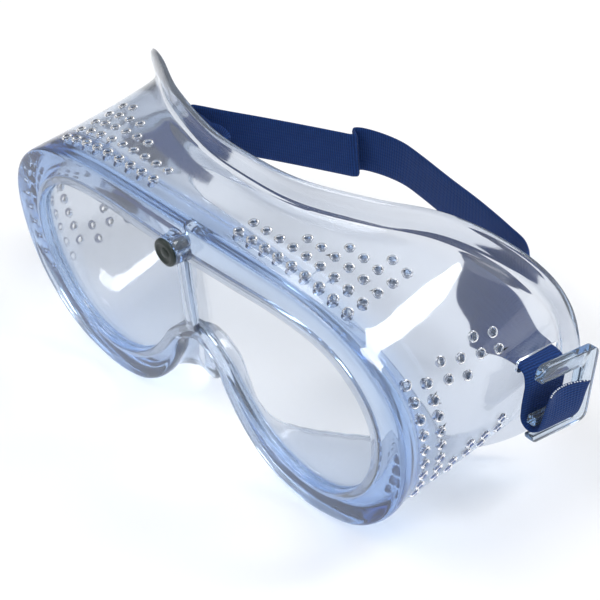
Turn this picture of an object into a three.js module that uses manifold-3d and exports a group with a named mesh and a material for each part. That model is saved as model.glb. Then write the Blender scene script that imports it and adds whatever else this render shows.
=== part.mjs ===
// Safety goggles with direct vents: a one-piece soft clear frame, a flat lens, a push-in lens stud,
// two strap buckles and a woven elastic headband.
// Millimetres. +X is to the right seen from the front, the lens faces -Y, +Z is up.
// The origin is the centre of the footprint on the surface that the goggles stand on.
import * as THREE from "three";
import { mergeVertices } from "three/addons/utils/BufferGeometryUtils.js";
import Module from "manifold-3d";

const wasm = await Module();
wasm.setup();

// ---- driving dimensions ----
const ORIGIN_Y = 47.891; // from the rim's front face back to the centre of the footprint
const LIFT = 0.475; // the rim's curve dips this far below its lowest station
const STEPS_PER_SPAN = 3; // sections between two stations of the frame
const WALL = 1.8; // thickness of the cowl

// Stations of the right half of the frame, from the top centre clockwise to the top of the nose notch.
// rim: outer edge of the front rim; eye: edge of the lens opening; step: from the rim in to the cowl,
// negative where the cowl stands above the rim; root: where the face flange leaves the cowl;
// rear: how far back that root lies; flange: how far the flange stands out.
const STATIONS = [
  { rim: [0, 76.5], eye: [0, 63.5], step: -2.3, root: [0, 76], rear: 25.5, flange: 7.5 },
  { rim: [20, 76.5], eye: [19, 64], step: -2.3, root: [20, 76.5], rear: 26.5, flange: 7.5 },
  { rim: [42, 76], eye: [38, 64.5], step: -2.0, root: [42, 78], rear: 32, flange: 7.5 },
  { rim: [59, 73.5], eye: [53, 63], step: -1.0, root: [58, 77], rear: 40.5, flange: 8 },
  { rim: [72, 67.5], eye: [63, 58.5], step: 0, root: [70, 71.5], rear: 48, flange: 8.5 },
  { rim: [81, 58], eye: [70, 50.5], step: 0.8, root: [78.5, 62], rear: 55.5, flange: 7.5 },
  { rim: [84.5, 45.5], eye: [72.3, 41.5], step: 1, root: [80.5, 48.5], rear: 61.5, flange: 5.5 },
  { rim: [82.5, 29.5], eye: [70.3, 30.5], step: 1, root: [79.5, 31.5], rear: 63, flange: 5.5 },
  { rim: [75.5, 15.5], eye: [64, 19.5], step: 1, root: [74, 16.5], rear: 58, flange: 5.5 },
  { rim: [63, 4.5], eye: [54, 12], step: 1, root: [63, 7.5], rear: 46, flange: 5.5 },
  { rim: [47, 0], eye: [43, 10], step: 1, root: [48, 5.5], rear: 34, flange: 5.5 },
  { rim: [34, 1], eye: [34, 12], step: 1, root: [32, 5.5], rear: 22, flange: 5.5 },
  { rim: [24.5, 5.5], eye: [27.5, 15.5], step: 1, root: [19, 6], rear: 14.5, flange: 6 },
  { rim: [17, 12.5], eye: [22, 20], step: 1, root: [13.5, 11.5], rear: 11, flange: 5 },
  { rim: [11, 22], eye: [17, 26], step: 1, root: [11.5, 20.5], rear: 9.5, flange: 4.5 },
  { rim: [7.5, 30], eye: [11.5, 33], step: 0.8, root: [8.8, 29.5], rear: 9, flange: 3.8 },
  { rim: [0, 34.5], eye: [0, 40.5], step: 0.6, root: [0, 35.2], rear: 8.6, flange: 3.5 },
];

// Front rim, measured back from its flat front face.
const RIM_BACK = 5.3;
const BEAD_BACK = 4.2;
const COWL_START = 4.9;
const GROOVE = { front: 1.8, back: 4.2, depth: 2.8 };
const ROUND = { rim: 1.6, bead: 0.7, eye: 0.5 }; // how far the rounded edges run
const BEAD_INSET = 0.5;
const LIP_SHARE = 0.25; // the part of the rim's width that its back lip covers
const FLANGE = { curl: 2.2, thickness: 1.5, backCurl: 2.0 };

const LENS = { front: 2.1, thickness: 1.8, bite: 2.4 };

// Boss and stud at the top centre of the rim, and the bar from there down to the nose arch.
const STUD = { z: 69.1, headRadius: 4.25, headLength: 1.3, shankRadius: 1.7, shankLength: 9.2 };
const BOSS = { radius: 4.5, length: 4.2, root: 1, boreRadius: 2.05, boreFrom: -10, boreTo: 12 };
const STUD_GAP = 0.3;
const BAR = { width: 4.4, front: -0.8, back: 1.5, top: 65, bottom: 39 };

// Vent holes: a grid on each half of the top wall, and a C of staggered holes on each side wall.
const VENT_RADIUS = 0.85;
const VENT_SIDES = 6;
const VENT_CUT = 4.7; // length of the cut through the wall
const TOP_SPANS = 5; // the top wall lies within this many stations of the middle
const FINE_STEPS = 40; // steps in a span where a distance is measured along the wall
const TOP_VENTS = { firstX: 18.25, firstY: 6.75, pitch: 5.22, columns: 9, firstColumnOfRow: [0, 0, 3, 5, 7] };
const SIDE_VENTS = { start: 4.76, firstY: 8, spacingY: 6.1, pitch: 5, drift: 0.3, rows: 9, columns: 6 };

// Strap buckle: an E-shaped clip outside the cowl, leaning back. Its three bars run forward from a broad
// rear arm. The band turns round the middle bar, and slips in from the open front.
const BUCKLE = {
  x: 88.9, y: 53.4, z: 33.8, lean: THREE.MathUtils.degToRad(-13),
  front: -9.75, rear: 13.25, height: 23.6, thickness: 3, corner: 2.6, edge: 0.5,
  slotRear: 6.75, slots: [[-9.2, -6.2], [-3.4, 7.3]],
};
const STRAP = { width: 16.5, thickness: 1.2, forward: -2 }; // forward: its middle from the buckle's centre
const STRAP_SLOT = { x: 80, length: 12, width: 18, height: 3.6, up: 8.7 };
// The band turns upright over this stretch inwards from the slot, or over this stretch behind the cowl.
const TURN = { x: 76, inwards: 34, y: 57, behind: 10 };
const BAND_STEPS_PER_POINT = 4;

const X_AXIS = new THREE.Vector3(1, 0, 0);

// ---- helpers ----
function solidOf(geometry) {
  const bare = geometry.clone();
  bare.deleteAttribute("normal");
  bare.deleteAttribute("uv");
  const merged = mergeVertices(bare, 1e-4);
  const mesh = new wasm.Mesh({
    numProp: 3,
    vertProperties: new Float32Array(merged.attributes.position.array),
    triVerts: new Uint32Array(merged.index.array),
  });
  return new wasm.Manifold(mesh);
}

function geometryOf(solid) {
  const mesh = solid.getMesh();
  const geometry = new THREE.BufferGeometry();
  geometry.setAttribute("position", new THREE.BufferAttribute(mesh.vertProperties, 3));
  geometry.setIndex(new THREE.BufferAttribute(mesh.triVerts, 1));
  return geometry;
}

// A closed loop of rings of points, joined into one skin. When open, its first and last rings are capped.
function skin(rings, closed) {
  const count = rings[0].length;
  const positions = rings.flat().flatMap((p) => [p.x, p.y, p.z]);
  const index = [];
  const last = closed ? rings.length : rings.length - 1;
  for (let i = 0; i < last; i++) {
    const next = (i + 1) % rings.length;
    for (let j = 0; j < count; j++) {
      const k = (j + 1) % count;
      const [a, b, c, d] = [i * count + j, i * count + k, next * count + k, next * count + j];
      index.push(a, c, b, a, d, c);
    }
  }
  if (!closed) {
    const end = (rings.length - 1) * count;
    for (let j = 1; j < count - 1; j++) {
      index.push(0, j, j + 1);
      index.push(end, end + j + 1, end + j);
    }
  }
  const geometry = new THREE.BufferGeometry();
  geometry.setAttribute("position", new THREE.Float32BufferAttribute(positions, 3));
  geometry.setIndex(index);
  return geometry;
}

// A cylinder along +Y, from y = from to y = to.
function cylinderAlongY(radius, from, to, x, z, sides = 24) {
  return new THREE.CylinderGeometry(radius, radius, to - from, sides).translate(x, (from + to) / 2, z);
}

function material(color, roughness, opacity = 1) {
  return new THREE.MeshStandardMaterial({
    color, roughness, metalness: 0, opacity, transparent: opacity < 1,
  });
}

// ---- frame sections ----
// The full ring of stations: the right half, then its mirror image back up to the top centre.
const ring = [
  ...STATIONS.map((s) => ({ ...s, side: 1 })),
  ...STATIONS.slice(1, -1).reverse().map((s) => ({ ...s, side: -1 })),
];
const SECTIONS = ring.length * STEPS_PER_SPAN;

function loopThrough(toPoint) {
  return new THREE.CatmullRomCurve3(ring.map(toPoint), true, "catmullrom", 0.5);
}

const rimLoop = loopThrough((s) => new THREE.Vector3(s.side * s.rim[0], 0, s.rim[1]));
const eyeLoop = loopThrough((s) => new THREE.Vector3(s.side * s.eye[0], 0, s.eye[1]));
const rootLoop = loopThrough((s) => new THREE.Vector3(s.side * s.root[0], 0, s.root[1]));
const reachLoop = loopThrough((s) => new THREE.Vector3(s.rear, s.flange, s.step));

// The unit normal of a loop in its plane, pointing into it.
function inward(loop, u) {
  const t = loop.getTangent(u);
  return new THREE.Vector3(t.z, 0, -t.x).normalize();
}

function sectionAt(u) {
  const reach = reachLoop.getPoint(u);
  return {
    rim: rimLoop.getPoint(u), rimIn: inward(rimLoop, u),
    eye: eyeLoop.getPoint(u), eyeIn: inward(eyeLoop, u),
    root: rootLoop.getPoint(u), rootIn: inward(rootLoop, u),
    rear: reach.x, flange: reach.y, step: reach.z,
  };
}

const offset = (point, direction, distance, y) =>
  point.clone().addScaledVector(direction, distance).setY(y);

// A point of the cowl's wall: s runs from 0 at the rim to 1 at the flange root, depth is into the wall.
function cowlPoint(section, s, depth) {
  const ease = s ** 3;
  const start = offset(section.rim, section.rimIn, section.step, 0);
  const normal = section.rimIn.clone().lerp(section.rootIn, ease).normalize();
  const y = THREE.MathUtils.lerp(COWL_START, section.rear, s);
  return start.lerp(section.root, ease).addScaledVector(normal, depth).setY(y);
}

// The closed outline of the frame's wall at one section, from the front face over the outside to the
// flange, back along the inside, and round the lens groove.
function frameSection(u) {
  const s = sectionAt(u);
  const outer = [0, 0.35, 0.7].map((k) => cowlPoint(s, k, 0));
  const inner = [0.85, 0.5, 0.12].map((k) => cowlPoint(s, k, WALL));
  const flangeFront = [0, 0.55, 0.92].map((k) =>
    offset(s.root, s.rootIn, -k * s.flange, s.rear + FLANGE.curl * k * k));
  const flangeBack = [1, 0.55, 0.05].map((k) =>
    offset(s.root, s.rootIn, -k * s.flange, s.rear + FLANGE.thickness + FLANGE.backCurl * k * k));
  const backLip = s.rim.distanceTo(s.eye) * LIP_SHARE;
  return [
    offset(s.rim, s.rimIn, ROUND.rim, 0),
    offset(s.rim, s.rimIn, ROUND.rim / 4, ROUND.rim / 3),
    offset(s.rim, s.rimIn, 0, ROUND.rim),
    offset(s.rim, s.rimIn, 0, BEAD_BACK - ROUND.bead),
    offset(s.rim, s.rimIn, Math.min(BEAD_INSET, (s.step + BEAD_INSET) / 2), BEAD_BACK),
    ...outer,
    ...flangeFront,
    ...flangeBack,
    ...inner,
    offset(s.eye, s.eyeIn, -backLip, RIM_BACK),
    offset(s.eye, s.eyeIn, 0, RIM_BACK - ROUND.eye / 2),
    offset(s.eye, s.eyeIn, 0, GROOVE.back),
    offset(s.eye, s.eyeIn, -GROOVE.depth, GROOVE.back),
    offset(s.eye, s.eyeIn, -GROOVE.depth, GROOVE.front),
    offset(s.eye, s.eyeIn, 0, GROOVE.front),
    offset(s.eye, s.eyeIn, 0, ROUND.eye),
    offset(s.eye, s.eyeIn, -ROUND.eye, 0),
  ];
}

// ---- vents ----
// A prism that goes through the cowl at a point, along the wall's normal.
function ventTool(point, normal) {
  const tool = new THREE.CylinderGeometry(VENT_RADIUS, VENT_RADIUS, VENT_CUT, VENT_SIDES);
  const turn = new THREE.Quaternion().setFromUnitVectors(new THREE.Vector3(0, 1, 0), normal);
  const centre = point.clone().addScaledVector(normal, WALL / 2);
  return tool.applyQuaternion(turn).translate(centre.x, centre.y, centre.z);
}

// The place on the cowl at loop position u and distance y behind the front face.
function onCowl(u, y) {
  const section = sectionAt(u);
  const s = THREE.MathUtils.clamp((y - COWL_START) / (section.rear - COWL_START), 0, 1);
  const point = cowlPoint(section, s, 0);
  const normal = cowlPoint(section, s, 1).sub(point).normalize();
  return { point, normal };
}

// The loop position whose cowl point at depth y lies at the given x on the top wall.
function topLoopPosition(x, y) {
  let low = 0;
  let high = TOP_SPANS / ring.length;
  for (let i = 0; i < 30; i++) {
    const middle = (low + high) / 2;
    if (onCowl(middle, y).point.x < x) low = middle;
    else high = middle;
  }
  return low;
}

// The loop position a given distance along the cowl from another one, at depth y.
function stepAlong(u, y, distance) {
  const fine = 1 / (ring.length * FINE_STEPS);
  let travelled = 0;
  let here = onCowl(u, y).point;
  while (travelled < distance) {
    u += fine;
    const next = onCowl(u, y).point;
    travelled += next.distanceTo(here);
    here = next;
  }
  return u;
}

function topVents() {
  const { firstX, firstY, pitch, columns, firstColumnOfRow } = TOP_VENTS;
  const vents = [];
  firstColumnOfRow.forEach((first, row) => {
    const y = firstY + row * pitch;
    for (let column = first; column < columns; column++) {
      vents.push(onCowl(topLoopPosition(firstX + column * pitch, y), y));
    }
  });
  return vents;
}

// Odd columns are half a pitch lower. Only the first two columns run all the way down; the others
// keep two holes at each end.
function sideVents() {
  const { start, firstY, spacingY, pitch, drift, rows, columns } = SIDE_VENTS;
  const vents = [];
  for (let column = 0; column < columns; column++) {
    const odd = column % 2;
    const last = rows - 1 - odd;
    let u = stepAlong(start / ring.length, firstY + column * spacingY, odd * pitch / 2);
    for (let row = 0; row <= last; row++) {
      const y = firstY + column * spacingY + drift * row;
      if (column < 2 || row < 2 || row > last - 2) vents.push(onCowl(u, y));
      u = stepAlong(u, y, pitch);
    }
  }
  return vents;
}

function mirrored(vent) {
  const flip = new THREE.Vector3(-1, 1, 1);
  return { point: vent.point.clone().multiply(flip), normal: vent.normal.clone().multiply(flip) };
}

// ---- frame ----
// A point on the buckle's leaning plane, in the object's frame: x out from the middle of the goggles.
function besideBuckle(x, forward, up, side) {
  const point = new THREE.Vector3(0, forward, up).applyAxisAngle(X_AXIS, BUCKLE.lean);
  return point.add(new THREE.Vector3(side * x, BUCKLE.y, BUCKLE.z));
}

function slotTool(side) {
  const tool = new THREE.BoxGeometry(STRAP_SLOT.length, STRAP_SLOT.width, STRAP_SLOT.height);
  const centre = besideBuckle(STRAP_SLOT.x, STRAP.forward, STRAP_SLOT.up, side);
  return tool.rotateX(BUCKLE.lean).translate(centre.x, centre.y, centre.z);
}

const boreTool = () =>
  solidOf(cylinderAlongY(BOSS.boreRadius, BOSS.boreFrom, BOSS.boreTo, 0, STUD.z, 16));

function frameGeometry() {
  const rings = [];
  for (let i = 0; i < SECTIONS; i++) rings.push(frameSection(i / SECTIONS));
  let solid = solidOf(skin(rings, true));
  const bar = new THREE.BoxGeometry(BAR.width, BAR.back - BAR.front, BAR.top - BAR.bottom);
  bar.translate(0, (BAR.front + BAR.back) / 2, (BAR.top + BAR.bottom) / 2);
  solid = solid.add(solidOf(bar));
  solid = solid.add(solidOf(cylinderAlongY(BOSS.radius, -BOSS.length, BOSS.root, 0, STUD.z)));
  solid = solid.subtract(boreTool());
  const vents = [...topVents(), ...sideVents()];
  for (const vent of [...vents, ...vents.map(mirrored)]) {
    solid = solid.subtract(solidOf(ventTool(vent.point, vent.normal)));
  }
  for (const side of [1, -1]) solid = solid.subtract(solidOf(slotTool(side)));
  return geometryOf(solid);
}

// ---- lens ----
function lensGeometry() {
  const outline = [];
  for (let i = 0; i < SECTIONS; i++) {
    const u = i / SECTIONS;
    const p = offset(eyeLoop.getPoint(u), inward(eyeLoop, u), -LENS.bite, 0);
    outline.push(new THREE.Vector2(p.x, p.z));
  }
  const plate = new THREE.ExtrudeGeometry(new THREE.Shape(outline), {
    depth: LENS.thickness, bevelEnabled: false, curveSegments: 1,
  });
  plate.rotateX(Math.PI / 2).translate(0, LENS.front + LENS.thickness, 0);
  return geometryOf(solidOf(plate).subtract(boreTool()));
}

// ---- lens stud ----
// A domed head on a shank, turned about its own axis and pointing forward.
function studGeometry() {
  const { headRadius, headLength, shankRadius, shankLength } = STUD;
  const profile = [
    [0, -shankLength], [shankRadius * 0.8, -shankLength], [shankRadius, -shankLength + 0.6],
    [shankRadius, 0], [headRadius, 0], [headRadius, headLength * 0.6],
    [headRadius * 0.86, headLength], [0, headLength + 0.15],
  ].map(([r, h]) => new THREE.Vector2(r, h));
  return new THREE.LatheGeometry(profile, 24).rotateX(Math.PI)
    .translate(0, -BOSS.length - STUD_GAP, STUD.z);
}

// ---- buckles ----
function roundedRectangle(target, left, bottom, right, top, radius) {
  target.moveTo(left + radius, bottom);
  target.lineTo(right - radius, bottom);
  target.absarc(right - radius, bottom + radius, radius, -Math.PI / 2, 0);
  target.lineTo(right, top - radius);
  target.absarc(right - radius, top - radius, radius, 0, Math.PI / 2);
  target.lineTo(left + radius, top);
  target.absarc(left + radius, top - radius, radius, Math.PI / 2, Math.PI);
  target.lineTo(left, bottom + radius);
  target.absarc(left + radius, bottom + radius, radius, Math.PI, 1.5 * Math.PI);
  return target;
}

function buckleGeometry() {
  const { front, rear, height, thickness, corner, edge, slotRear, slots, lean } = BUCKLE;
  const outline = roundedRectangle(new THREE.Shape(), front, -height / 2, rear, height / 2, corner);
  const plate = new THREE.ExtrudeGeometry(outline, {
    depth: thickness - 2 * edge, bevelEnabled: true, bevelThickness: edge, bevelSize: edge,
    bevelOffset: -edge, bevelSegments: 1, curveSegments: 3,
  });
  plate.translate(0, 0, edge - thickness / 2);
  let solid = solidOf(plate);
  for (const [low, high] of slots) {
    const length = 2 * (slotRear - front);
    const slot = new THREE.BoxGeometry(length, high - low, 2 * thickness);
    slot.translate(slotRear - length / 2, (low + high) / 2, 0);
    solid = solid.subtract(solidOf(slot));
  }
  // The outline's x becomes the object's Y and its y the object's Z.
  return geometryOf(solid).rotateY(Math.PI / 2).rotateX(Math.PI / 2).rotateX(lean);
}

// ---- headband ----
// Points of the band's centre line from its cut end on the right buckle to where it is clear of the
// slot, as [x, distance up from the buckle's centre].
const WRAP = [
  [92.7, 5], [92.8, 1.5], [92.7, -3], [91.6, -6.4], [88.9, -7.7], [86.2, -6.4],
  [85.5, -3], [85.4, 1], [85.3, 4.5], [84, 7.6], [81, 8.7], [77, 8.7],
];

const wrapPoint = ([x, up], side) => besideBuckle(x, STRAP.forward, up, side);

// The free part of the band behind the face opening, from the right slot to the left one.
const FREE_BAND = [
  [69, 54, 41], [59, 58, 39.5], [49, 62.5, 37.5], [41, 66.3, 36], [35.6, 70, 35.5],
  [36.2, 74, 35.5], [42, 76.8, 35.5], [48, 80, 35.5], [49.4, 84.5, 35.5], [45, 88.5, 35.5],
  [36.9, 90.9, 35.5], [21.5, 94.4, 35.5], [6.4, 97, 35.5], [-9.6, 100, 35.5], [-17.5, 101.1, 35.5],
  [-24, 100.8, 35.5], [-30.5, 99.5, 35.5], [-34.6, 97.9, 35.5], [-35.7, 96.6, 35.5],
  [-34.4, 95.6, 35.5], [-32.9, 94.7, 35.5], [-33.8, 93.5, 35.5], [-36.8, 92.2, 35.5],
  [-46, 88.4, 35.5], [-61, 82, 35.5], [-75.8, 75.4, 35.5], [-83.5, 72.2, 35.5], [-85.9, 70.9, 35.5],
  [-86.2, 69.6, 35.5], [-84.6, 69, 35.5], [-79, 68.9, 35.5], [-72, 67.2, 36.3], [-65.5, 64.5, 38],
  [-62, 59.5, 39.5], [-67, 55.5, 41],
];

// The direction across the band: level with the slot at each buckle, upright behind the goggles.
function acrossBand(point) {
  const level = new THREE.Vector3(0, 1, 0).applyAxisAngle(X_AXIS, BUCKLE.lean);
  const turned = THREE.MathUtils.smoothstep(TURN.x - Math.abs(point.x), 0, TURN.inwards);
  const behind = THREE.MathUtils.smoothstep(point.y, TURN.y, TURN.y + TURN.behind);
  const angle = Math.max(turned, behind) * (Math.PI / 2 - BUCKLE.lean);
  return level.applyAxisAngle(X_AXIS, angle);
}

function headbandGeometry() {
  const route = [
    ...WRAP.map((p) => wrapPoint(p, 1)),
    ...FREE_BAND.map((p) => new THREE.Vector3(...p)),
    ...WRAP.map((p) => wrapPoint(p, -1)).reverse(),
  ];
  const curve = new THREE.CatmullRomCurve3(route, false, "centripetal");
  const steps = BAND_STEPS_PER_POINT * route.length;
  const rings = [];
  for (let i = 0; i <= steps; i++) {
    const u = i / steps;
    const centre = curve.getPoint(u);
    const along = curve.getTangent(u);
    const across = acrossBand(centre);
    const normal = along.clone().cross(across).normalize();
    const width = normal.clone().cross(along).normalize().multiplyScalar(STRAP.width / 2);
    const half = normal.multiplyScalar(STRAP.thickness / 2);
    rings.push([
      centre.clone().add(width).sub(half), centre.clone().sub(width).sub(half),
      centre.clone().sub(width).add(half), centre.clone().add(width).add(half),
    ]);
  }
  return skin(rings, false);
}

// ---- assembly ----
const CLEAR_SOFT = material(0xdbe3f2, 0.15, 0.45);
const CLEAR_LENS = material(0xf2f5f8, 0.05, 0.25);
const CLEAR_HARD = material(0xd5dde8, 0.1, 0.55);
const BLACK = material(0x14201c, 0.5);
const NAVY = material(0x1c3f86, 0.9);

const goggles = new THREE.Group();
goggles.position.set(0, -ORIGIN_Y, LIFT);

function place(name, geometry, finish, position = [0, 0, 0]) {
  const mesh = new THREE.Mesh(geometry, finish);
  mesh.name = name;
  mesh.position.set(...position);
  goggles.add(mesh);
}

place("frame_body", frameGeometry(), CLEAR_SOFT);
place("lens", lensGeometry(), CLEAR_LENS);
place("lens_stud", studGeometry(), BLACK);
place("strap_buckle_right", buckleGeometry(), CLEAR_HARD, [BUCKLE.x, BUCKLE.y, BUCKLE.z]);
place("strap_buckle_left", buckleGeometry(), CLEAR_HARD, [-BUCKLE.x, BUCKLE.y, BUCKLE.z]);
place("headband", headbandGeometry(), NAVY);

export default goggles;
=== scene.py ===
import math

import bpy
import numpy as np
from mathutils import Matrix, Vector


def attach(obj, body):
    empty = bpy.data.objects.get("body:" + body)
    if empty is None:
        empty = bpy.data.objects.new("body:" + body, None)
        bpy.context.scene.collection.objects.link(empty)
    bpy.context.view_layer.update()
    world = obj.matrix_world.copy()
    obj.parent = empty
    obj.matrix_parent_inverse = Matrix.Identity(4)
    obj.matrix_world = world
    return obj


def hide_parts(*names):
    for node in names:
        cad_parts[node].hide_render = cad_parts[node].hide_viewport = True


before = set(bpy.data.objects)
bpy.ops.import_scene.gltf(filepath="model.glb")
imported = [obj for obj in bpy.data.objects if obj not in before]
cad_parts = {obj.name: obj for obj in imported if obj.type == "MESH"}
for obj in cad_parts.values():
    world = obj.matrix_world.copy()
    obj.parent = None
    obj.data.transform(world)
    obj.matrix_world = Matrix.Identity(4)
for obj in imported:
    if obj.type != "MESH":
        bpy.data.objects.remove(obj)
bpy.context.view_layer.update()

# ---- the part's own dimensions, in millimetres, as the CAD model has them ----
MM = 0.001
ORIGIN_Y = 47.891  # from the rim's front face back to the origin
LIFT = 0.475  # height of the rim's lowest station above the ground
SECTIONS_PER_SPAN = 8
WALL = 1.8

# Stations of the right half, from the top centre clockwise to the nose notch:
# rim x, z; eye x, z; step from the rim in to the cowl; root x, z; rear; flange.
STATIONS = [
    (0, 76.5, 0, 63.5, -2.3, 0, 76, 25.5, 7.5),
    (20, 76.5, 19, 64, -2.3, 20, 76.5, 26.5, 7.5),
    (42, 76, 38, 64.5, -2.0, 42, 78, 32, 7.5),
    (59, 73.5, 53, 63, -1.0, 58, 77, 40.5, 8),
    (72, 67.5, 63, 58.5, 0, 70, 71.5, 48, 8.5),
    (81, 58, 70, 50.5, 0.8, 78.5, 62, 55.5, 7.5),
    (84.5, 45.5, 72.3, 41.5, 1, 80.5, 48.5, 61.5, 5.5),
    (82.5, 29.5, 70.3, 30.5, 1, 79.5, 31.5, 63, 5.5),
    (75.5, 15.5, 64, 19.5, 1, 74, 16.5, 58, 5.5),
    (63, 4.5, 54, 12, 1, 63, 7.5, 46, 5.5),
    (47, 0, 43, 10, 1, 48, 5.5, 34, 5.5),
    (34, 1, 34, 12, 1, 32, 5.5, 22, 5.5),
    (24.5, 5.5, 27.5, 15.5, 1, 19, 6, 14.5, 6),
    (17, 12.5, 22, 20, 1, 13.5, 11.5, 11, 5),
    (11, 22, 17, 26, 1, 11.5, 20.5, 9.5, 4.5),
    (7.5, 30, 11.5, 33, 0.8, 8.8, 29.5, 9, 3.8),
    (0, 34.5, 0, 40.5, 0.6, 0, 35.2, 8.6, 3.5),
]

RIM_BACK = 5.3
BEAD_BACK = 4.2
COWL_START = 4.9
LIP_SHARE = 0.25  # the part of the rim's width that its back lip covers
FLANGE_CURL, FLANGE_THICKNESS, FLANGE_BACK_CURL = 2.2, 1.5, 2.0
GROOVE_FRONT, GROOVE_BACK, GROOVE_DEPTH = 1.8, 4.2, 2.8
LENS_FRONT, LENS_THICKNESS, LENS_BITE = 2.1, 1.8, 2.4

STUD_Z, STUD_HEAD, STUD_HEAD_LENGTH = 69.1, 4.25, 1.3
STUD_SHANK, STUD_SHANK_LENGTH = 1.7, 9.2
STUD_GAP = 0.3
BOSS_RADIUS, BOSS_LENGTH, BOSS_BORE = 4.5, 4.2, 2.05
BORE_FROM, BORE_TO = -12, 10
BAR_WIDTH, BAR_FRONT, BAR_BACK, BAR_TOP, BAR_BOTTOM = 4.4, -0.8, 1.5, 65, 39

VENT_RADIUS, VENT_COLLAR, VENT_SIDES = 0.85, 1.6, 20
TOP_VENT_X, TOP_VENT_Y, TOP_VENT_PITCH, TOP_VENT_COLUMNS = 18.25, 6.75, 5.22, 9
TOP_VENT_FIRST_COLUMN = (0, 0, 3, 5, 7)
SIDE_VENT_START, SIDE_VENT_Y, SIDE_VENT_SPACING = 4.76, 8, 6.1
SIDE_VENT_PITCH, SIDE_VENT_DRIFT, SIDE_VENT_ROWS, SIDE_VENT_COLUMNS = 5, 0.3, 9, 6
TOP_SPANS = 5  # the top wall lies within this many stations of the middle
FINE_STEPS = 40  # steps in a span where a distance is measured along the wall

BUCKLE_X, BUCKLE_Y, BUCKLE_Z = 88.9, 53.4, 33.8
BUCKLE_LEAN = math.radians(-13)
BUCKLE_FRONT, BUCKLE_REAR = -9.75, 13.25
BUCKLE_HEIGHT, BUCKLE_THICKNESS, BUCKLE_CORNER = 23.6, 3, 2.6
BUCKLE_SLOT_REAR, BUCKLE_SLOTS = 6.75, ((-9.2, -6.2), (-3.4, 7.3))

STRAP_WIDTH, STRAP_THICKNESS, STRAP_FORWARD = 16.5, 1.2, -2
SLOT_X, SLOT_LENGTH, SLOT_WIDTH, SLOT_HEIGHT, SLOT_UP = 80, 12, 18, 3.6, 8.7
# The band turns upright over a stretch inwards from the slot, or over a stretch behind the cowl.
TURN_X, TURN_INWARDS, TURN_Y, TURN_BEHIND = 76, 34, 57, 10
BAND_SAMPLES, BAND_LANES, ROUTE_SAMPLES = 640, 60, 4000
STRAP_RIBS = 14
CUT_CUP, CUP_LENGTH = 2.4, 9  # how far the cut end curls, and over what length
THREADS, THREAD_RADIUS = 17, 0.24

# The band's centre line from its cut end to clear of the slot: x, and height above the buckle's centre.
WRAP = [
    (92.7, 5), (92.8, 1.5), (92.7, -3), (91.6, -6.4), (88.9, -7.7), (86.2, -6.4),
    (85.5, -3), (85.4, 1), (85.3, 4.5), (84, 7.6), (81, 8.7), (77, 8.7),
]
# The free part of the band, from the right slot to the left one.
FREE_BAND = [
    (69, 54, 41), (59, 58, 39.5), (49, 62.5, 37.5), (41, 66.3, 36), (35.6, 70, 35.5),
    (36.2, 74, 35.5), (42, 76.8, 35.5), (48, 80, 35.5), (49.4, 84.5, 35.5), (45, 88.5, 35.5),
    (36.9, 90.9, 35.5), (21.5, 94.4, 35.5), (6.4, 97, 35.5), (-9.6, 100, 35.5), (-17.5, 101.1, 35.5),
    (-24, 100.8, 35.5), (-30.5, 99.5, 35.5), (-34.6, 97.9, 35.5), (-35.7, 96.6, 35.5),
    (-34.4, 95.6, 35.5), (-32.9, 94.7, 35.5), (-33.8, 93.5, 35.5), (-36.8, 92.2, 35.5),
    (-46, 88.4, 35.5), (-61, 82, 35.5), (-75.8, 75.4, 35.5), (-83.5, 72.2, 35.5), (-85.9, 70.9, 35.5),
    (-86.2, 69.6, 35.5), (-84.6, 69, 35.5), (-79, 68.9, 35.5), (-72, 67.2, 36.3), (-65.5, 64.5, 38),
    (-62, 59.5, 39.5), (-67, 55.5, 41),
]

# ---- the camera and the room ----
VIEW_TARGET = (49.685, 0, 76.5)
VIEW_AZIMUTH, VIEW_ELEVATION, VIEW_ROLL = 51.453, 38.304, -5.569
VIEW_DISTANCE = 453.51
VIEW_LENS, VIEW_SENSOR = 108, 36


# ---- mesh helpers ----
def to_row(points):
    """Part millimetres to the row frame's metres."""
    return (np.asarray(points, float) + (0, -ORIGIN_Y, LIFT)) * MM


def mesh_object(name, points, faces, smooth=True):
    mesh = bpy.data.meshes.new(name)
    mesh.from_pydata([tuple(p) for p in to_row(points)], [], [tuple(f) for f in faces])
    mesh.validate()
    mesh.update()
    obj = bpy.data.objects.new(name, mesh)
    bpy.context.scene.collection.objects.link(obj)
    if smooth:
        mesh.shade_smooth()
    return obj


def ring_faces(rings, count, closed):
    """Quads between successive rings of count points each, and end caps when the tube is open."""
    faces = []
    for i in range(rings if closed else rings - 1):
        a, b = i * count, (i + 1) % rings * count
        for j in range(count):
            k = (j + 1) % count
            faces.append((a + j, b + j, b + k, a + k))
    if not closed:
        faces.append(tuple(range(count)))
        faces.append(tuple(reversed(range((rings - 1) * count, rings * count))))
    return faces


def bake_modifiers(obj):
    bpy.context.view_layer.update()
    graph = bpy.context.evaluated_depsgraph_get()
    mesh = bpy.data.meshes.new_from_object(obj.evaluated_get(graph))
    obj.modifiers.clear()
    obj.data = mesh
    return obj


def boolean(obj, tool, operation):
    modifier = obj.modifiers.new("cut", "BOOLEAN")
    modifier.operation = operation
    modifier.solver = "MANIFOLD"
    modifier.object = tool
    bake_modifiers(obj)
    bpy.data.objects.remove(tool)


def shade_by_angle(obj, degrees):
    obj.data.shade_smooth()
    obj.data.set_sharp_from_angle(angle=math.radians(degrees))


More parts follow.
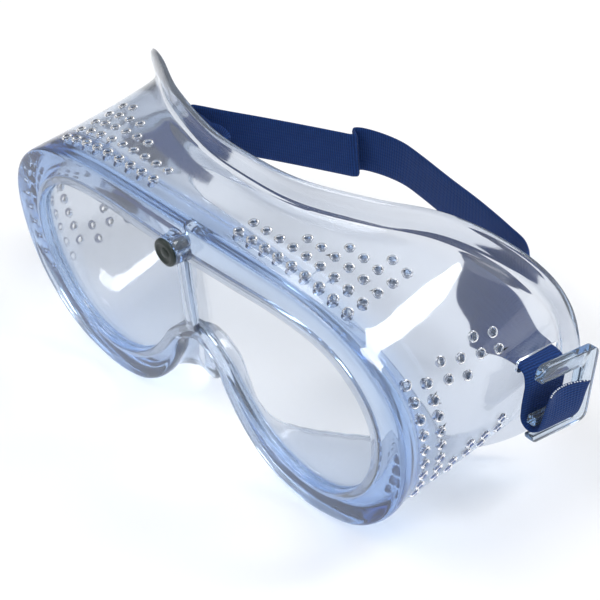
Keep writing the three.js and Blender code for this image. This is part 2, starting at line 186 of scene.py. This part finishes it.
def lathe(profile, start, axis, sides):
    """Points and faces of a solid turned about an axis: profile is (radius, distance along the axis)."""
    axis = np.asarray(axis, float) / np.linalg.norm(axis)
    side = np.cross(axis, (0.3, 0.2, 1.0))
    side /= np.linalg.norm(side)
    other = np.cross(axis, side)
    angles = np.arange(sides) * 2 * math.pi / sides
    circle = np.cos(angles)[:, None] * side + np.sin(angles)[:, None] * other
    points = [np.asarray(start, float) + r * circle + h * axis for r, h in profile]
    faces = ring_faces(len(profile), sides, False)
    return np.concatenate(points), [tuple(reversed(f)) for f in faces]


def join_meshes(parts):
    points, faces, base = [], [], 0
    for p, f in parts:
        points.append(p)
        faces += [tuple(i + base for i in face) for face in f]
        base += len(p)
    return np.concatenate(points), faces


# ---- the frame's sections ----
RING = [(1, s) for s in STATIONS] + [(-1, s) for s in reversed(STATIONS[1:-1])]
RIM_POINTS = np.array([(side * s[0], 0, s[1]) for side, s in RING], float)
EYE_POINTS = np.array([(side * s[2], 0, s[3]) for side, s in RING], float)
ROOT_POINTS = np.array([(side * s[5], 0, s[6]) for side, s in RING], float)
REACH_POINTS = np.array([(s[7], s[8], s[4]) for side, s in RING], float)


def closed_curve(points, u):
    """A closed Catmull-Rom curve through points, at u from 0 to 1."""
    place = (u % 1) * len(points)
    first = int(place)
    w = place - first
    a, b, c, d = (points[(first + k - 1) % len(points)] for k in range(4))
    t0, t1 = (c - a) / 2, (d - b) / 2
    return b + t0 * w + (3 * (c - b) - 2 * t0 - t1) * w**2 + (2 * (b - c) + t0 + t1) * w**3


def inward(points, u):
    step = 1e-4
    t = closed_curve(points, u + step) - closed_curve(points, u - step)
    normal = np.array((t[2], 0, -t[0]))
    return normal / np.linalg.norm(normal)


def section_at(u):
    reach = closed_curve(REACH_POINTS, u)
    return {
        "rim": closed_curve(RIM_POINTS, u), "rim_in": inward(RIM_POINTS, u),
        "eye": closed_curve(EYE_POINTS, u), "eye_in": inward(EYE_POINTS, u),
        "root": closed_curve(ROOT_POINTS, u), "root_in": inward(ROOT_POINTS, u),
        "rear": reach[0], "flange": reach[1], "step": reach[2],
    }


def shifted(point, direction, distance, y):
    moved = point + direction * distance
    return np.array((moved[0], y, moved[2]))


def cowl_point(s, along, depth):
    """A point of the cowl's wall: along runs from 0 at the rim to 1 at the flange root."""
    ease = along**3
    start = shifted(s["rim"], s["rim_in"], s["step"], 0)
    normal = s["rim_in"] * (1 - ease) + s["root_in"] * ease
    normal /= np.linalg.norm(normal)
    y = COWL_START + (s["rear"] - COWL_START) * along
    return shifted(start * (1 - ease) + s["root"] * ease, normal, depth, y)


def frame_section(u):
    """The wall's outline at one section, and which of its corners stay sharp."""
    s = section_at(u)
    rim, rim_in, eye, eye_in = s["rim"], s["rim_in"], s["eye"], s["eye_in"]
    root, root_in, rear, reach = s["root"], s["root_in"], s["rear"], s["flange"]
    lip = np.linalg.norm(rim - eye) * LIP_SHARE
    outline = [
        (shifted(rim, rim_in, 2.6, 0), 0), (shifted(rim, rim_in, 1.3, 0), 0),
        (shifted(rim, rim_in, 0.3, 0.45), 0), (shifted(rim, rim_in, 0, 1.5), 0),
        (shifted(rim, rim_in, 0, BEAD_BACK - 0.9), 0),
        (shifted(rim, rim_in, min(0.3, s["step"] / 2), BEAD_BACK), 0),
    ]
    outline += [(cowl_point(s, k, 0), 0) for k in (0.03, 0.12, 0.3, 0.5, 0.7, 0.88, 0.97)]
    outline += [(shifted(root, root_in, -k * reach, rear + FLANGE_CURL * k * k), 0)
                for k in (0.08, 0.3, 0.55, 0.8, 0.93)]
    back = rear + FLANGE_THICKNESS
    outline += [(shifted(root, root_in, -k * reach, back + FLANGE_BACK_CURL * k * k), 0)
                for k in (1, 0.9, 0.7, 0.45, 0.2, 0.02)]
    outline += [(cowl_point(s, k, WALL), 0) for k in (0.9, 0.75, 0.5, 0.3, 0.14)]
    outline += [
        (shifted(eye, eye_in, -lip, RIM_BACK), 0), (shifted(eye, eye_in, -0.6, RIM_BACK), 0),
        (shifted(eye, eye_in, 0, RIM_BACK - 0.4), 0), (shifted(eye, eye_in, 0, GROOVE_BACK), 1),
        (shifted(eye, eye_in, -GROOVE_DEPTH, GROOVE_BACK), 1),
        (shifted(eye, eye_in, -GROOVE_DEPTH, GROOVE_FRONT), 1),
        (shifted(eye, eye_in, 0, GROOVE_FRONT), 1), (shifted(eye, eye_in, 0, 0.9), 0),
        (shifted(eye, eye_in, -0.25, 0.25), 0), (shifted(eye, eye_in, -0.9, 0), 0),
        (shifted(eye, eye_in, -2.2, 0), 0),
    ]
    return [p for p, sharp in outline], [sharp for p, sharp in outline]


def frame_skin():
    count = len(RING) * SECTIONS_PER_SPAN
    rings = []
    for i in range(count):
        ring, sharp = frame_section(i / count)
        rings.append(ring)
    size = len(sharp)
    points = np.array(rings).reshape(-1, 3)
    obj = mesh_object("clear_frame", points, ring_faces(count, size, True))
    crease = obj.data.attributes.new("crease_edge", "FLOAT", "EDGE")
    for edge in obj.data.edges:
        a, b = edge.vertices
        if a % size == b % size and sharp[a % size]:
            crease.data[edge.index].value = 1.0
    subdivide = obj.modifiers.new("smooth", "SUBSURF")
    subdivide.levels = subdivide.render_levels = 1
    return bake_modifiers(obj)


# ---- the vents ----
def on_cowl(u, y):
    """The outer point of the cowl at loop position u, and the wall's inward normal there."""
    s = section_at(u)
    along = min(1, max(0, (y - COWL_START) / (s["rear"] - COWL_START)))
    point = cowl_point(s, along, 0)
    normal = cowl_point(s, along, 1) - point
    return point, normal / np.linalg.norm(normal)


def top_position(x, y):
    low, high = 0, TOP_SPANS / len(RING)
    for _ in range(24):
        middle = (low + high) / 2
        if on_cowl(middle, y)[0][0] < x:
            low = middle
        else:
            high = middle
    return low


def step_along(u, y, distance):
    fine = 1 / (len(RING) * FINE_STEPS)
    travelled, here = 0, on_cowl(u, y)[0]
    while travelled < distance:
        u += fine
        there = on_cowl(u, y)[0]
        travelled += np.linalg.norm(there - here)
        here = there
    return u


def top_vents():
    vents = []
    for row, first in enumerate(TOP_VENT_FIRST_COLUMN):
        y = TOP_VENT_Y + row * TOP_VENT_PITCH
        for column in range(first, TOP_VENT_COLUMNS):
            vents.append(on_cowl(top_position(TOP_VENT_X + column * TOP_VENT_PITCH, y), y))
    return vents


def side_vents():
    """Odd columns are half a pitch lower, and only the first two columns run all the way down."""
    vents = []
    for column in range(SIDE_VENT_COLUMNS):
        odd = column % 2
        last = SIDE_VENT_ROWS - 1 - odd
        base = SIDE_VENT_Y + column * SIDE_VENT_SPACING
        u = step_along(SIDE_VENT_START / len(RING), base, odd * SIDE_VENT_PITCH / 2)
        for row in range(last + 1):
            y = base + SIDE_VENT_DRIFT * row
            if column < 2 or row < 2 or row > last - 2:
                vents.append(on_cowl(u, y))
            u = step_along(u, y, SIDE_VENT_PITCH)
    return vents


def all_vents():
    vents = top_vents() + side_vents()
    flip = np.array((-1, 1, 1))
    return vents + [(p * flip, n * flip) for p, n in vents]


def vent_collars(vents):
    """Low domed collars that stand proud round the vents."""
    r = VENT_COLLAR
    profile = [(r, 0.9), (r, 0.02), (r - 0.06, -0.22), (r - 0.25, -0.42), (r - 0.5, -0.5)]
    parts = [lathe(profile, point, normal, VENT_SIDES) for point, normal in vents]
    return mesh_object("vent_collars", *join_meshes(parts))


def vent_tools(vents):
    """Spools that cut round holes with softly flared mouths."""
    r = VENT_RADIUS
    profile = [(r + 0.5, -0.9), (r + 0.22, -0.48), (r + 0.05, -0.2), (r, 0.3), (r, 1.4),
               (r + 0.1, 1.75), (r + 0.6, 2.5)]
    parts = [lathe(profile, point, normal, VENT_SIDES) for point, normal in vents]
    return mesh_object("vent_tools", *join_meshes(parts))


# ---- solids joined to the frame, and holes through it ----
def box_part(centre, size, lean=0):
    half = np.array(size) / 2
    corners = np.array([(x, y, z) for x in (-1, 1) for y in (-1, 1) for z in (-1, 1)]) * half
    turned = np.array([leaned(c, lean) for c in corners])
    faces = [(0, 1, 3, 2), (4, 6, 7, 5), (0, 4, 5, 1), (2, 3, 7, 6), (0, 2, 6, 4), (1, 5, 7, 3)]
    return turned + centre, faces


def leaned(point, angle):
    """A point turned about the X axis."""
    x, y, z = point
    c, s = math.cos(angle), math.sin(angle)
    return np.array((x, y * c - z * s, y * s + z * c))


def beside_buckle(x, forward, up, side):
    """A point given on the buckle's leaning plane."""
    return leaned((0, forward, up), BUCKLE_LEAN) + (side * x, BUCKLE_Y, BUCKLE_Z)


def rounded_box(name, centre, size, radius, lean=0):
    obj = mesh_object(name, *box_part(centre, size, lean), smooth=False)
    bevel = obj.modifiers.new("round", "BEVEL")
    bevel.width = radius * MM
    bevel.segments = 4
    return bake_modifiers(obj)


def bore_tool():
    """The stud's hole, which runs through the boss, the rim and the lens."""
    bore = lathe([(BOSS_BORE, BORE_FROM), (BOSS_BORE, BORE_TO)], (0, 0, STUD_Z), (0, -1, 0), 32)
    return mesh_object("bore", *bore)


def make_frame():
    body = frame_skin()
    bar_centre = (0, (BAR_FRONT + BAR_BACK) / 2, (BAR_TOP + BAR_BOTTOM) / 2)
    bar_size = (BAR_WIDTH, BAR_BACK - BAR_FRONT, BAR_TOP - BAR_BOTTOM)
    boolean(body, rounded_box("bar", bar_centre, bar_size, 0.7), "UNION")
    boss_profile = [(BOSS_RADIUS + 0.5, 1), (BOSS_RADIUS + 0.5, -0.15), (BOSS_RADIUS + 0.1, -0.6),
                    (BOSS_RADIUS, -1.2), (BOSS_RADIUS, -BOSS_LENGTH + 0.5),
                    (BOSS_RADIUS - 0.5, -BOSS_LENGTH)]
    boss = lathe([(r, -y) for r, y in boss_profile], (0, 0, STUD_Z), (0, -1, 0), 48)
    boolean(body, mesh_object("boss", *boss), "UNION")
    boolean(body, bore_tool(), "DIFFERENCE")
    vents = all_vents()
    boolean(body, vent_collars(vents), "UNION")
    boolean(body, vent_tools(vents), "DIFFERENCE")
    for side in (1, -1):
        centre = beside_buckle(SLOT_X, STRAP_FORWARD, SLOT_UP, side)
        slot = rounded_box("slot", centre, (SLOT_LENGTH, SLOT_WIDTH, SLOT_HEIGHT), 1.2, BUCKLE_LEAN)
        boolean(body, slot, "DIFFERENCE")
    shade_by_angle(body, 40)
    return body


# ---- lens, stud and buckles ----
def make_lens():
    count = len(RING) * SECTIONS_PER_SPAN
    outline = [shifted(closed_curve(EYE_POINTS, i / count), inward(EYE_POINTS, i / count), -LENS_BITE, 0)
               for i in range(count)]
    outline = np.array(outline)
    middle = outline.mean(0)
    rings = []
    for inset, y in ((0.25, 0), (0, 0.25), (0, LENS_THICKNESS - 0.25), (0.25, LENS_THICKNESS)):
        shrunk = outline + (middle - outline) * inset / 60
        rings.append(shrunk + (0, LENS_FRONT + y, 0))
    faces = ring_faces(len(rings), count, False)
    lens = mesh_object("clear_lens", np.concatenate(rings), [tuple(reversed(f)) for f in faces])
    boolean(lens, bore_tool(), "DIFFERENCE")
    shade_by_angle(lens, 35)
    return lens


def make_stud():
    head, shank, length = STUD_HEAD, STUD_SHANK, STUD_SHANK_LENGTH
    profile = [
        (0.02, -length), (shank * 0.8, -length), (shank, -length + 0.5), (shank, -0.25),
        (shank + 0.25, 0), (head - 0.2, 0), (head, 0.2), (head, 0.75), (head - 0.15, 1.1),
        (head - 0.5, STUD_HEAD_LENGTH), (head - 1.1, STUD_HEAD_LENGTH + 0.05),
        (head - 1.4, STUD_HEAD_LENGTH - 0.3), (1.6, STUD_HEAD_LENGTH - 0.45),
        (1.3, STUD_HEAD_LENGTH - 0.1), (0.02, STUD_HEAD_LENGTH),
    ]
    start = (0, -BOSS_LENGTH - STUD_GAP, STUD_Z)
    stud = mesh_object("black_stud", *lathe(profile, start, (0, -1, 0), 64))
    shade_by_angle(stud, 50)
    return stud


def rounded_rectangle(left, bottom, right, top, radius, steps=8):
    corners = [(right, bottom, -90), (right, top, 0), (left, top, 90), (left, bottom, 180)]
    outline = []
    for x, y, start in corners:
        cx = x - math.copysign(radius, x - (left + right) / 2)
        cy = y - math.copysign(radius, y - (bottom + top) / 2)
        for i in range(steps + 1):
            angle = math.radians(start + 90 * i / steps)
            outline.append((cx + radius * math.cos(angle), cy + radius * math.sin(angle)))
    return np.array(outline)


def extrude_slab(name, outline, half, place):
    """A flat slab of the outline, half thick each way, with place(across, up, out) giving its points."""
    rings = [[place(a, b, x) for a, b in outline] for x in (-half, half)]
    faces = ring_faces(2, len(outline), False)
    return mesh_object(name, np.concatenate(rings), [tuple(reversed(f)) for f in faces], smooth=False)


def make_buckle(name, side):
    """A moulded E-shaped clip, open to the front, with softly rounded edges."""
    h, half = BUCKLE_HEIGHT / 2, BUCKLE_THICKNESS / 2

    def place(across, up, out):
        return beside_buckle(BUCKLE_X + side * out, across, up, side)

    outline = rounded_rectangle(BUCKLE_FRONT, -h, BUCKLE_REAR, h, BUCKLE_CORNER)
    buckle = extrude_slab(name, outline, half, place)
    for low, high in BUCKLE_SLOTS:
        slot = rounded_rectangle(BUCKLE_FRONT - 6, low, BUCKLE_SLOT_REAR, high, 0.8, 4)
        boolean(buckle, extrude_slab("slot", slot, half + 1, place), "DIFFERENCE")
    bevel = buckle.modifiers.new("round", "BEVEL")
    bevel.width = 0.5 * MM
    bevel.segments = 3
    bevel.angle_limit = math.radians(50)
    bake_modifiers(buckle)
    shade_by_angle(buckle, 35)
    return buckle


# ---- headband ----
def open_curve(points, t):
    """A centripetal Catmull-Rom curve through points, at t from 0 to 1."""
    place = t * (len(points) - 1)
    i = min(int(place), len(points) - 2)
    w = place - i
    b, c = points[i], points[i + 1]
    a = points[i - 1] if i > 0 else 2 * b - c
    d = points[i + 2] if i + 2 < len(points) else 2 * c - b
    d0, d1, d2 = (max(np.linalg.norm(q - p) ** 0.5, 1e-4) for p, q in ((a, b), (b, c), (c, d)))
    t1 = ((b - a) / d0 - (c - a) / (d0 + d1) + (c - b) / d1) * d1
    t2 = ((c - b) / d1 - (d - b) / (d1 + d2) + (d - c) / d2) * d1
    return b + t1 * w + (3 * (c - b) - 2 * t1 - t2) * w**2 + (2 * (b - c) + t1 + t2) * w**3


def smooth_step(value, low, high):
    k = min(1, max(0, (value - low) / (high - low)))
    return k * k * (3 - 2 * k)


def across_band(point):
    turned = smooth_step(TURN_X - abs(point[0]), 0, TURN_INWARDS)
    behind = smooth_step(point[1], TURN_Y, TURN_Y + TURN_BEHIND)
    angle = max(turned, behind) * (math.pi / 2 - BUCKLE_LEAN)
    return leaned(leaned((0, 1, 0), BUCKLE_LEAN), angle)


def band_route():
    wrap = [beside_buckle(x, STRAP_FORWARD, up, 1) for x, up in WRAP]
    other = [beside_buckle(x, STRAP_FORWARD, up, -1) for x, up in reversed(WRAP)]
    return [np.array(p, float) for p in wrap + FREE_BAND + other]


def make_headband():
    route = band_route()
    dense = np.array([open_curve(route, i / ROUTE_SAMPLES) for i in range(ROUTE_SAMPLES + 1)])
    lengths = np.concatenate([[0], np.cumsum(np.linalg.norm(np.diff(dense, axis=0), axis=1))])
    even = np.linspace(0, lengths[-1], BAND_SAMPLES + 1)
    centres = np.stack([np.interp(even, lengths, dense[:, k]) for k in range(3)], 1)
    tangents = np.gradient(centres, axis=0)
    tangents /= np.linalg.norm(tangents, axis=1)[:, None]
    v = np.linspace(-1, 1, BAND_LANES + 1)
    edge = np.sqrt(np.clip(1 - np.abs(v) ** 10, 0, 1))
    rib = 0.72 + 0.28 * np.abs(np.cos(v * STRAP_RIBS / 2 * math.pi)) ** 0.7
    half = STRAP_THICKNESS / 2 * rib * edge
    rings, lines = [], []
    for centre, along, travelled in zip(centres, tangents, even):
        normal = np.cross(along, across_band(centre))
        normal /= np.linalg.norm(normal)
        width = np.cross(normal, along)
        curl = CUT_CUP * max(0, 1 - travelled / CUP_LENGTH) ** 2
        line = centre + v[:, None] * width * STRAP_WIDTH / 2 + (curl * (v**2 - 0.4))[:, None] * normal
        lines.append(line)
        front = line + half[:, None] * normal
        back = (line - half[:, None] * normal)[::-1][1:-1]
        rings.append(np.concatenate([front, back]))
    count = len(rings[0])
    faces = [tuple(reversed(f)) for f in ring_faces(len(rings), count, False)]
    band = mesh_object("blue_headband", np.concatenate(rings), faces)
    shade_by_angle(band, 60)
    lane = np.concatenate([v, v[::-1][1:-1]])
    layer = band.data.uv_layers.new(name="weave")
    for loop in band.data.loops:
        ring, place = divmod(loop.vertex_index, count)
        layer.data[loop.index].uv = (even[ring] / 10, (lane[place] + 1) * STRAP_WIDTH / 20)
    return band, lines[0], -tangents[0]


def make_threads(line, outwards):
    """The cut ends of the rubber threads, in a row along the band's cut end."""
    v = np.linspace(-0.9, 0.9, THREADS)
    spots = [line[int(round((k + 1) / 2 * (len(line) - 1)))] for k in v]
    r = THREAD_RADIUS
    profile = [(0.02, -0.35), (r, -0.35), (r, 0.05), (r * 0.7, 0.16), (0.02, 0.2)]
    threads = mesh_object("rubber_threads", *join_meshes([lathe(profile, p, outwards, 10) for p in spots]))
    shade_by_angle(threads, 50)
    return threads


# ---- materials ----
def new_material(name):
    material = bpy.data.materials.new(name)
    material.use_nodes = True
    nodes, links = material.node_tree.nodes, material.node_tree.links
    return material, nodes, links, nodes["Principled BSDF"]


def noise(nodes, links, scale, detail=3):
    """Noise in the object's own coordinates."""
    place = nodes.new("ShaderNodeTexCoord")
    texture = nodes.new("ShaderNodeTexNoise")
    texture.inputs["Scale"].default_value = scale
    texture.inputs["Detail"].default_value = detail
    links.new(place.outputs["Object"], texture.inputs["Vector"])
    return texture.outputs["Fac"]


def spread(nodes, links, value, low, high):
    """Maps a 0..1 value to low..high."""
    node = nodes.new("ShaderNodeMapRange")
    node.inputs["To Min"].default_value = low
    node.inputs["To Max"].default_value = high
    links.new(value, node.inputs["Value"])
    return node.outputs["Result"]


def bump(nodes, links, height, strength, distance):
    node = nodes.new("ShaderNodeBump")
    node.inputs["Strength"].default_value = strength
    node.inputs["Distance"].default_value = distance
    links.new(height, node.inputs["Height"])
    return node.outputs["Normal"]


def clear_material(name, tint, ior, roughness, absorbed, density, shadow, clarity=1.0):
    """Clear plastic: it refracts, tints what is seen through its depth, and casts only a light shadow."""
    material, nodes, links, shader = new_material(name)
    shader.inputs["Base Color"].default_value = (*tint, 1)
    shader.inputs["IOR"].default_value = ior
    shader.inputs["Transmission Weight"].default_value = clarity
    grain = noise(nodes, links, 140)
    links.new(spread(nodes, links, grain, *roughness), shader.inputs["Roughness"])
    waves = noise(nodes, links, 45, 2)
    links.new(bump(nodes, links, waves, 0.12, 0.001), shader.inputs["Normal"])
    path = nodes.new("ShaderNodeLightPath")
    links.new(spread(nodes, links, path.outputs["Is Shadow Ray"], 1, shadow), shader.inputs["Alpha"])
    volume = nodes.new("ShaderNodeVolumeAbsorption")
    volume.inputs["Color"].default_value = (*absorbed, 1)
    volume.inputs["Density"].default_value = density
    links.new(volume.outputs["Volume"], nodes["Material Output"].inputs["Volume"])
    return material


def black_material():
    material, nodes, links, shader = new_material("black_plastic")
    shader.inputs["Base Color"].default_value = (0.008, 0.017, 0.014, 1)
    grain = noise(nodes, links, 900)
    links.new(spread(nodes, links, grain, 0.3, 0.5), shader.inputs["Roughness"])
    links.new(bump(nodes, links, grain, 0.2, 0.0001), shader.inputs["Normal"])
    return material


def elastic_material():
    """Ribbed woven elastic: fine cross threads along every rib, and a slight unevenness of the dye."""
    material, nodes, links, shader = new_material("blue_elastic")
    place = nodes.new("ShaderNodeUVMap")
    place.uv_map = "weave"
    threads = nodes.new("ShaderNodeTexWave")
    threads.inputs["Scale"].default_value = 4.2
    threads.inputs["Distortion"].default_value = 1.2
    threads.inputs["Detail Scale"].default_value = 3
    links.new(place.outputs["UV"], threads.inputs["Vector"])
    dye = noise(nodes, links, 260)
    mix = nodes.new("ShaderNodeMix")
    mix.data_type = "RGBA"
    mix.inputs["A"].default_value = (0.003, 0.016, 0.075, 1)
    mix.inputs["B"].default_value = (0.012, 0.05, 0.2, 1)
    links.new(threads.outputs["Fac"], mix.inputs["Factor"])
    shade = nodes.new("ShaderNodeMix")
    shade.data_type = "RGBA"
    shade.inputs["B"].default_value = (0.008, 0.04, 0.17, 1)
    links.new(mix.outputs["Result"], shade.inputs["A"])
    links.new(spread(nodes, links, dye, 0, 0.5), shade.inputs["Factor"])
    links.new(shade.outputs["Result"], shader.inputs["Base Color"])
    shader.inputs["Roughness"].default_value = 0.8
    shader.inputs["Specular IOR Level"].default_value = 0.2
    shader.inputs["Sheen Weight"].default_value = 0.04
    links.new(bump(nodes, links, threads.outputs["Fac"], 0.7, 0.0002), shader.inputs["Normal"])
    return material


def rubber_material():
    material, nodes, links, shader = new_material("white_rubber")
    grain = noise(nodes, links, 800)
    tone = nodes.new("ShaderNodeMix")
    tone.data_type = "RGBA"
    tone.inputs["A"].default_value = (0.72, 0.76, 0.8, 1)
    tone.inputs["B"].default_value = (0.9, 0.92, 0.92, 1)
    links.new(grain, tone.inputs["Factor"])
    links.new(tone.outputs["Result"], shader.inputs["Base Color"])
    links.new(spread(nodes, links, grain, 0.5, 0.7), shader.inputs["Roughness"])
    return material


def floor_material():
    material, nodes, links, shader = new_material("pale_floor")
    shader.inputs["Base Color"].default_value = (0.93, 0.93, 0.935, 1)
    grain = noise(nodes, links, 30)
    links.new(spread(nodes, links, grain, 0.75, 0.9), shader.inputs["Roughness"])
    return material


def finish_piece(obj, material, body, node=None):
    obj.data.materials.clear()
    obj.data.materials.append(material)
    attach(obj, body)
    if node:
        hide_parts(node)


# ---- floor, lights and camera ----
def make_floor():
    bpy.ops.mesh.primitive_plane_add(size=8, location=(0, 0, -0.0002))
    floor = bpy.context.object
    floor.name = "floor"
    floor.data.materials.append(floor_material())


def area_light(name, place, size, power, colour=(1, 1, 1)):
    data = bpy.data.lights.new(name, "AREA")
    data.shape = "RECTANGLE"
    data.size, data.size_y = size
    data.energy = power
    data.color = colour
    light = bpy.data.objects.new(name, data)
    light.location = place
    light.rotation_euler = (Vector((0, 0, 0.04)) - Vector(place)).to_track_quat("-Z", "Y").to_euler()
    bpy.context.scene.collection.objects.link(light)


def make_lights():
    world = bpy.data.worlds.new("studio")
    bpy.context.scene.world = world
    world.use_nodes = True
    background = world.node_tree.nodes["Background"]
    background.inputs["Color"].default_value = (0.93, 0.945, 0.97, 1)
    background.inputs["Strength"].default_value = 0.5
    area_light("key", (-0.5, -0.7, 1.3), (0.9, 0.6), 9)
    area_light("fill", (1.3, -0.3, 0.8), (0.5, 0.9), 3.5)
    area_light("back", (-0.3, 1.3, 0.9), (1.0, 0.35), 4)
    area_light("streak", (0.59, 0.68, 1.07), (0.25, 0.6), 7)


def make_camera():
    azimuth, elevation = math.radians(VIEW_AZIMUTH), math.radians(VIEW_ELEVATION)
    out = Vector((math.sin(azimuth) * math.cos(elevation),
                  -math.cos(azimuth) * math.cos(elevation), math.sin(elevation)))
    target = Vector(to_row([VIEW_TARGET])[0])
    data = bpy.data.cameras.new("photo_view")
    data.lens, data.sensor_width = VIEW_LENS, VIEW_SENSOR
    data.clip_start = 0.01
    camera = bpy.data.objects.new("photo_view", data)
    camera.location = target + out * VIEW_DISTANCE * MM
    look = (-out).to_track_quat("-Z", "Y").to_matrix().to_4x4()
    roll = math.radians(VIEW_ROLL)
    camera.rotation_euler = (look @ Matrix.Rotation(roll, 4, "Z")).to_euler()
    bpy.context.scene.collection.objects.link(camera)
    bpy.context.scene.camera = camera


bpy.context.scene.view_settings.view_transform = "Standard"
make_camera()
make_floor()
make_lights()

soft_clear = clear_material("clear_soft_frame", (0.8, 0.815, 0.85), 1.5, (0.03, 0.09),
                            (0.0, 0.4, 0.85), 60, 0.2, 0.94)
hard_clear = clear_material("clear_hard_plastic", (0.84, 0.86, 0.89), 1.49, (0.02, 0.06),
                            (0.0, 0.42, 0.8), 60, 0.2, 0.95)
lens_clear = clear_material("clear_lens", (0.82, 0.83, 0.845), 1.5, (0.0, 0.03),
                            (0.4, 0.6, 0.7), 8, 0.1)
finish_piece(make_frame(), soft_clear, "root", "frame_body")
finish_piece(make_lens(), lens_clear, "root", "lens")
finish_piece(make_stud(), black_material(), "stud", "lens_stud")
finish_piece(make_buckle("clear_buckle_right", 1), hard_clear,
             "buckle_right", "strap_buckle_right")
finish_piece(make_buckle("clear_buckle_left", -1), hard_clear,
             "buckle_left", "strap_buckle_left")
headband, cut_line, cut_outwards = make_headband()
finish_piece(headband, elastic_material(), "root", "headband")
finish_piece(make_threads(cut_line, cut_outwards), rubber_material(), "root")
